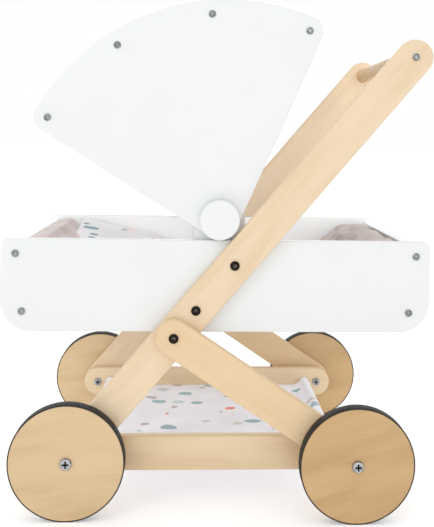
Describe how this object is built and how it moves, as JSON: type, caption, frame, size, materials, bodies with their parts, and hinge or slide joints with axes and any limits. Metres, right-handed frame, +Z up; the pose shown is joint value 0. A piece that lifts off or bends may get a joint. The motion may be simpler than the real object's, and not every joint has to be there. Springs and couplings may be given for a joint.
{
  "type": "doll stroller",
  "caption": "Wooden doll's pram with a white tray, folding fan-shaped hood, sloping arms to a round push grip, rolling wheels and a cloth shelf below.",
  "frame": {"origin": "on the floor under the middle of the tray", "axes": "+X towards the push grip (the rear), -Y the left side for the person pushing, +Z up"},
  "size_m": [0.498, 0.3752, 0.59],
  "materials": {
    "birch_plywood": "clear matt lacquer on birch ply, edges rounded over",
    "beech_dowel": "clear matt lacquer",
    "white_lacquer": "satin white lacquer on board",
    "zinc_plated_steel": "bright zinc plate",
    "dark_nickel_steel": "dark nickel plate",
    "black_rubber": "smooth matt band",
    "dotted_cotton": "plain-weave cotton printed with loose dots",
    "mauve_cotton": "plain-weave cotton, padded"
  },
  "bodies": {
    "frame": {"tray_side_left": "white_lacquer", "tray_side_right": "white_lacquer", "tray_end_front": "white_lacquer", "tray_end_rear": "white_lacquer", "tray_floor": "white_lacquer", "tray_screws": "zinc_plated_steel", "hood_bracket_left": "white_lacquer", "hood_bracket_right": "white_lacquer", "bracket_screws": "zinc_plated_steel", "handle_arm_left": "birch_plywood", "handle_arm_right": "birch_plywood", "handle_grip": "beech_dowel", "grip_screws": "zinc_plated_steel", "leg_left": "birch_plywood", "leg_right": "birch_plywood", "lower_rail_left": "birch_plywood", "lower_rail_right": "birch_plywood", "arm_bolts": "dark_nickel_steel", "arm_bolt_nuts": "dark_nickel_steel", "leg_bolts": "dark_nickel_steel", "leg_bolt_inserts": "zinc_plated_steel", "rear_axle_spacers": "birch_plywood", "shelf_rod_front": "beech_dowel", "shelf_rod_rear": "beech_dowel", "shelf_cloth": "dotted_cotton", "axle_bolts": "zinc_plated_steel", "axle_nuts": "zinc_plated_steel", "wheel_washers": "zinc_plated_steel", "hood_pivot_bolts": "zinc_plated_steel", "mattress": "mauve_cotton", "pillow": "mauve_cotton", "cover": "dotted_cotton", "blanket": "mauve_cotton"},
    "hood": {"hood_side_left": "white_lacquer", "hood_side_right": "white_lacquer", "hood_bar_1": "beech_dowel", "hood_bar_2": "beech_dowel", "hood_bar_3": "beech_dowel", "hood_bar_4": "beech_dowel", "hood_screws": "zinc_plated_steel", "hood_cloth": "dotted_cotton", "hood_disc_left": "white_lacquer", "hood_disc_right": "white_lacquer"},
    "front_left_wheel": {"wheel_front_left": "birch_plywood", "tyre_front_left": "black_rubber"},
    "front_right_wheel": {"wheel_front_right": "birch_plywood", "tyre_front_right": "black_rubber"},
    "rear_left_wheel": {"wheel_rear_left": "birch_plywood", "tyre_rear_left": "black_rubber"},
    "rear_right_wheel": {"wheel_rear_right": "birch_plywood", "tyre_rear_right": "black_rubber"}
  },
  "joints": [
    {"name": "hood_fold", "type": "hinge", "parent": "frame", "child": "hood", "pos_m": [0.001, 0, 0.335], "axis": [0, 1, 0], "range_deg": [-31, 66.5]},
    {"name": "front_left_wheel_spin", "type": "hinge", "parent": "frame", "child": "front_left_wheel", "pos_m": [-0.1665, -0.1648, 0.065], "axis": [0, 1, 0], "continuous": true},
    {"name": "front_right_wheel_spin", "type": "hinge", "parent": "frame", "child": "front_right_wheel", "pos_m": [-0.1665, 0.1648, 0.065], "axis": [0, 1, 0], "continuous": true},
    {"name": "rear_left_wheel_spin", "type": "hinge", "parent": "frame", "child": "rear_left_wheel", "pos_m": [0.1585, -0.1768, 0.065], "axis": [0, 1, 0], "continuous": true},
    {"name": "rear_right_wheel_spin", "type": "hinge", "parent": "frame", "child": "rear_right_wheel", "pos_m": [0.1585, 0.1768, 0.065], "axis": [0, 1, 0], "continuous": true}
  ]
}
